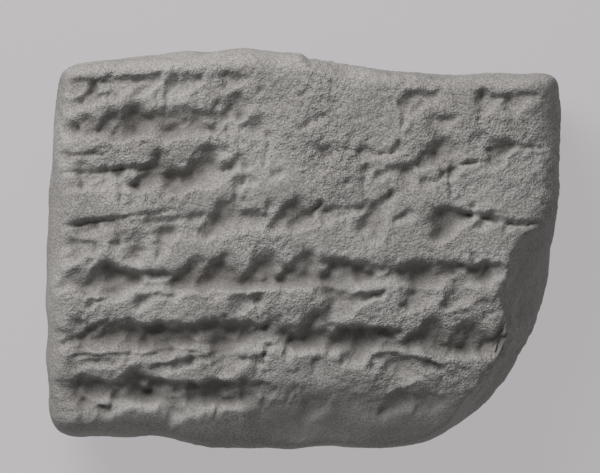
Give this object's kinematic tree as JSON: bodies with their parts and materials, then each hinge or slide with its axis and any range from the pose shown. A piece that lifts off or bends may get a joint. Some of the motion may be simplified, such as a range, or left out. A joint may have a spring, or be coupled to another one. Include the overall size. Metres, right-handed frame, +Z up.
{
  "type": "cuneiform tablet",
  "caption": "Small pillow-shaped clay tablet with rows of worn wedge-shaped strokes on its face and a broken lower corner, lying on its back",
  "frame": {"origin": "on the underside, under the middle of the tablet's bounding box, in the plane of the flat spot that it rests on", "axes": "+X along the lines of writing from left to right, which is the longest side; +Y towards the upper edge of the written face; +Z up, out of the written face, which is the thickness and the shortest side"},
  "size_m": [0.054, 0.0416, 0.0212],
  "materials": {
    "clay": "dry matte unglazed clay, grey, pitted and worn, smooth along the rims"
  },
  "bodies": {
    "root": {"clay_tablet": "clay"}
  },
  "joints": []
}
